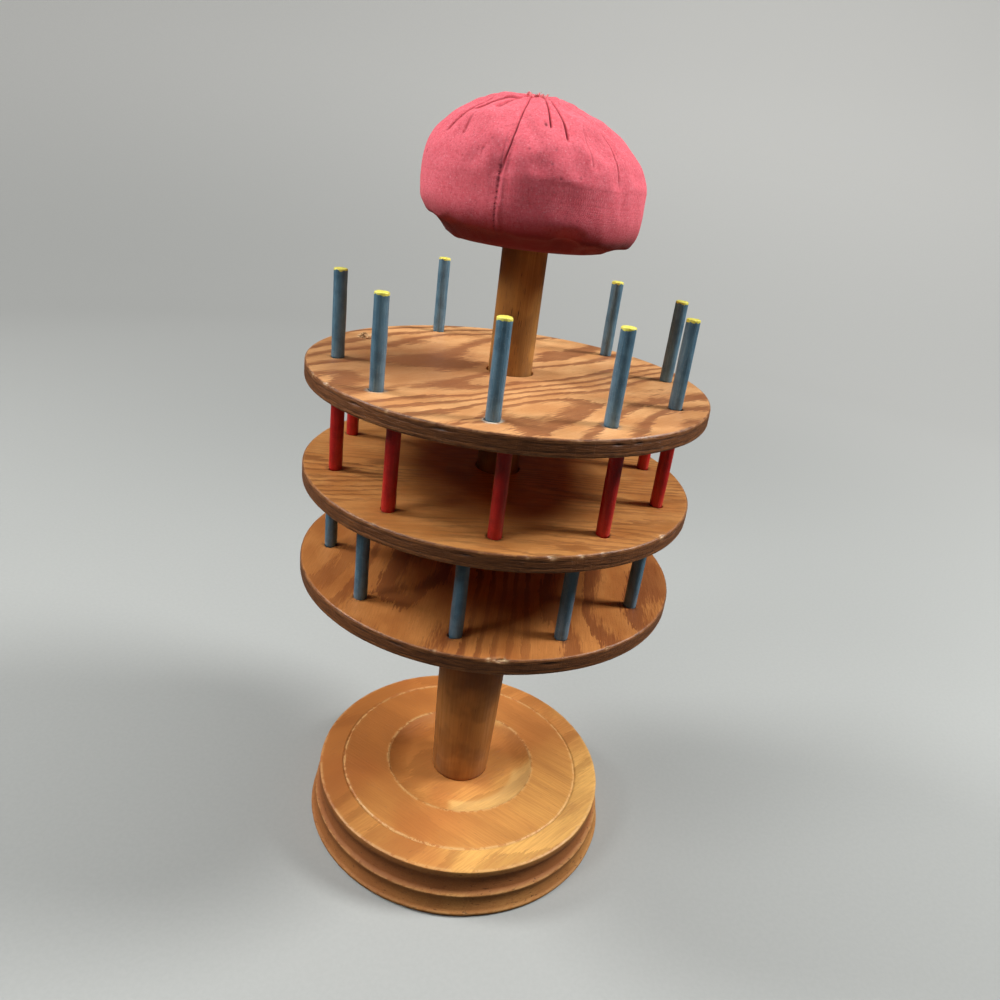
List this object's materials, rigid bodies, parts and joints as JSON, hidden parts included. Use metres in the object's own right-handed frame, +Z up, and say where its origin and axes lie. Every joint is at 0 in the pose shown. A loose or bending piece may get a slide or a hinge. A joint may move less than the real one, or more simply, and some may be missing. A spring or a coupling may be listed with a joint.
{
  "type": "thread rack",
  "caption": "Free-standing turned wood thread rack with three round plywood tiers of spool pegs on a central post and a gathered fabric pincushion on top.",
  "frame": {"origin": "middle of the base's underside, on the surface that the rack stands on", "axes": "+Z up along the post; +Y away from the viewer of the picture, +X to the viewer's right"},
  "size_m": [0.1524, 0.1524, 0.3059],
  "materials": {
    "base_wood": "satin varnished turned softwood, honey orange",
    "column_wood": "satin varnished turned wood, mid brown",
    "post_wood": "lightly varnished dowel, golden brown with dark flecks",
    "ply_light": "satin rotary cut fir plywood with broad flame grain",
    "ply_tan": "satin fir plywood with fine straight grain",
    "ply_red": "satin fir plywood with wavy red brown grain",
    "blue_paint": "brushed slate blue enamel on wood, yellow on the top tier's tips",
    "red_paint": "brushed red enamel on wood",
    "board_wood": "bare softwood",
    "cushion_cloth": "plain weave cotton, pink red, gathered over stuffing"
  },
  "bodies": {
    "stand": {"base": "base_wood", "column": "column_wood", "post": "post_wood"},
    "bottom_tier": {"bottom_disc": "ply_red", "bottom_peg_1": "blue_paint", "bottom_peg_2": "blue_paint", "bottom_peg_3": "blue_paint", "bottom_peg_4": "blue_paint", "bottom_peg_5": "blue_paint", "bottom_peg_6": "blue_paint", "bottom_peg_7": "blue_paint", "bottom_peg_8": "blue_paint", "bottom_peg_9": "blue_paint", "bottom_peg_10": "blue_paint"},
    "middle_tier": {"middle_disc": "ply_tan", "middle_peg_1": "red_paint", "middle_peg_2": "red_paint", "middle_peg_3": "red_paint", "middle_peg_4": "red_paint", "middle_peg_5": "red_paint", "middle_peg_6": "red_paint", "middle_peg_7": "red_paint", "middle_peg_8": "red_paint", "middle_peg_9": "red_paint", "middle_peg_10": "red_paint"},
    "top_tier": {"top_disc": "ply_light", "top_peg_1": "blue_paint", "top_peg_2": "blue_paint", "top_peg_3": "blue_paint", "top_peg_4": "blue_paint", "top_peg_6": "blue_paint", "top_peg_7": "blue_paint", "top_peg_8": "blue_paint", "top_peg_9": "blue_paint", "top_peg_10": "blue_paint"},
    "cushion_top": {"cushion_board": "board_wood", "pincushion": "cushion_cloth"}
  },
  "joints": [
    {"name": "bottom_tier_turn", "type": "hinge", "parent": "stand", "child": "bottom_tier", "pos_m": [0, 0, 0.1262], "axis": [0, 0, 1], "continuous": true},
    {"name": "upper_tiers_lift", "type": "slide", "parent": "bottom_tier", "child": "middle_tier", "axis": [0, 0, 1], "range_m": [0, 0.045]},
    {"name": "top_tier_turn", "type": "hinge", "parent": "middle_tier", "child": "top_tier", "pos_m": [0, 0, 0.2053], "axis": [0, 0, 1], "continuous": true},
    {"name": "pincushion_pull", "type": "slide", "parent": "stand", "child": "cushion_top", "axis": [0, 0, 1], "range_m": [0, 0.012]}
  ]
}
